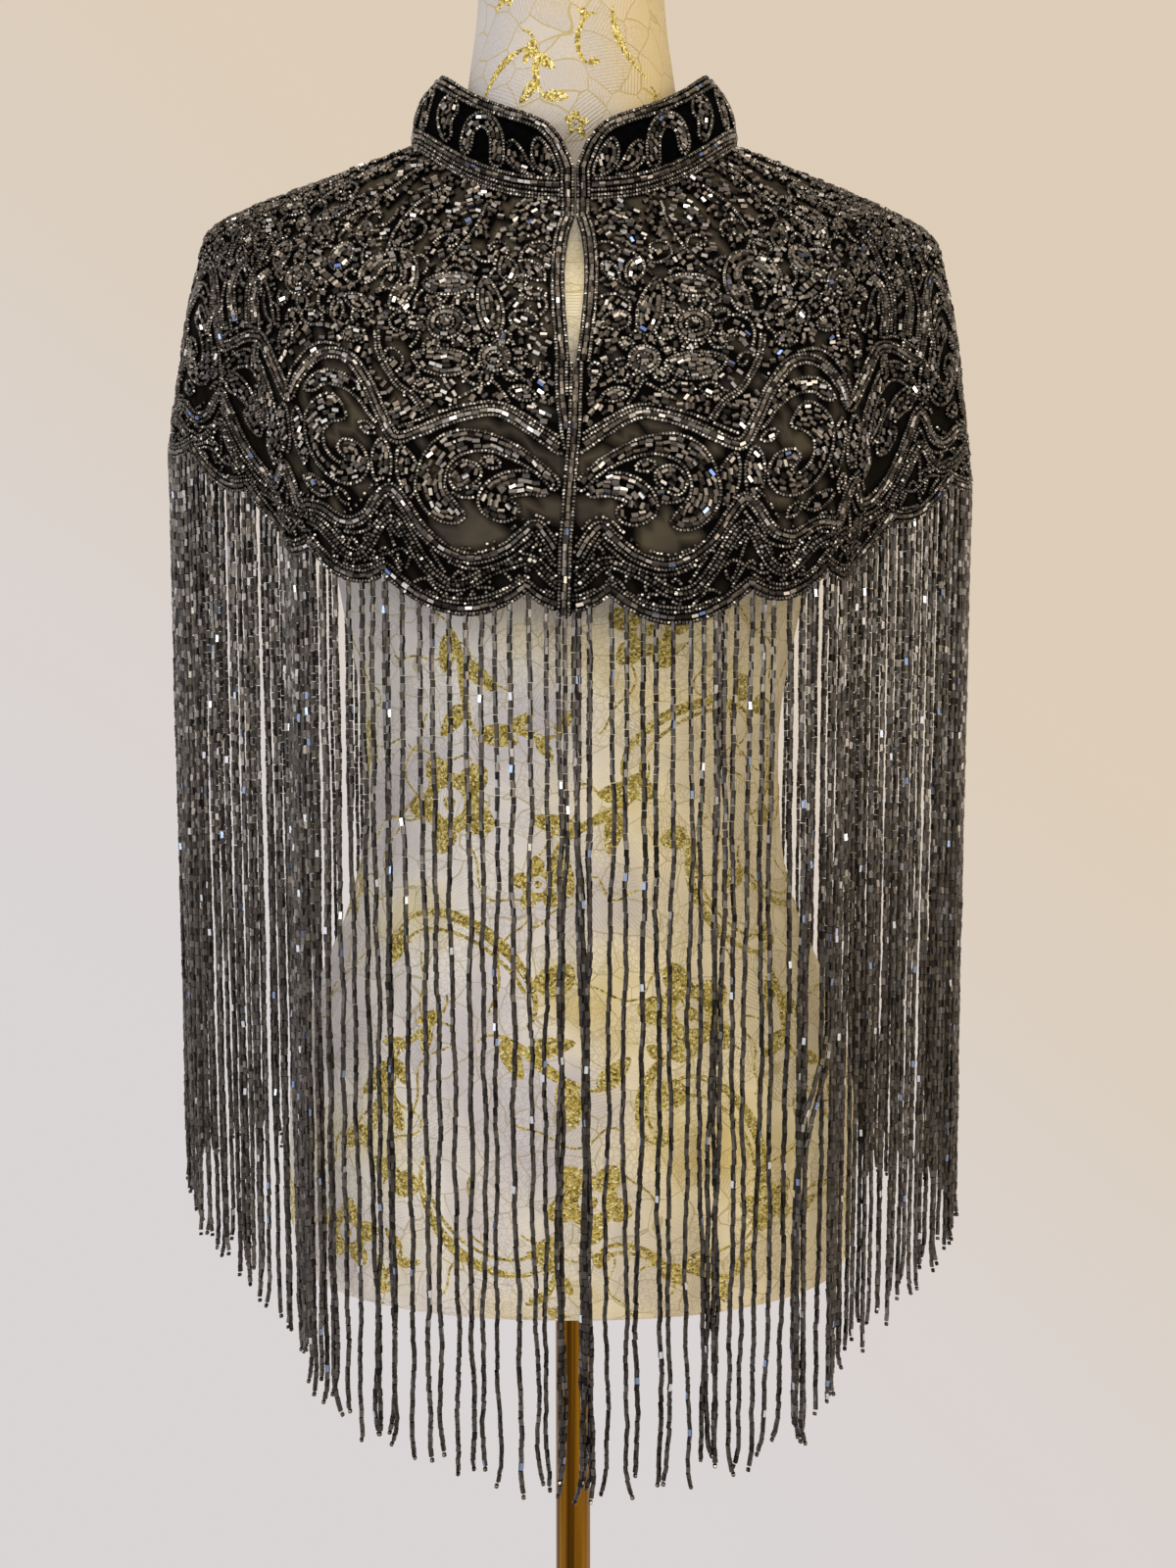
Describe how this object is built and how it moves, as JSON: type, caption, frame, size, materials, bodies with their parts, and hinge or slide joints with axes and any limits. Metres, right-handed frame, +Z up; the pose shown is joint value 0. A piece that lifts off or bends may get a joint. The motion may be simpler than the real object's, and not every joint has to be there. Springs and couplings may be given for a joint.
{
  "type": "beaded fringe capelet on dress form",
  "caption": "Short beaded net capelet with a notched stand collar, keyhole front, scalloped hem and long bead fringe, worn by a limbless dress form on a round pole stand.",
  "frame": {"origin": "centre of the stand base's underside, on the floor", "axes": "+Z up along the pole, -Y the wearer's front with the closure, +X the wearer's left"},
  "size_m": [0.4663, 0.34, 1.533],
  "materials": {
    "beaded_net": "dark net covered in hematite-grey glass beads",
    "beaded_satin": "black velvet with beaded motifs",
    "bead_strands": "metallic grey glass bead strands",
    "form_cover": "cream lace over a padded form",
    "brass": "polished"
  },
  "bodies": {
    "root": {"back": "beaded_net", "front_left": "beaded_net", "front_right": "beaded_net", "side_left": "beaded_net", "side_right": "beaded_net", "collar": "beaded_satin", "fringe_front_left": "bead_strands", "fringe_front_right": "bead_strands", "fringe_side_left": "bead_strands", "fringe_side_right": "bead_strands", "fringe_back": "bead_strands", "form_torso": "form_cover", "stand_pole": "brass", "stand_base": "brass"}
  },
  "joints": []
}
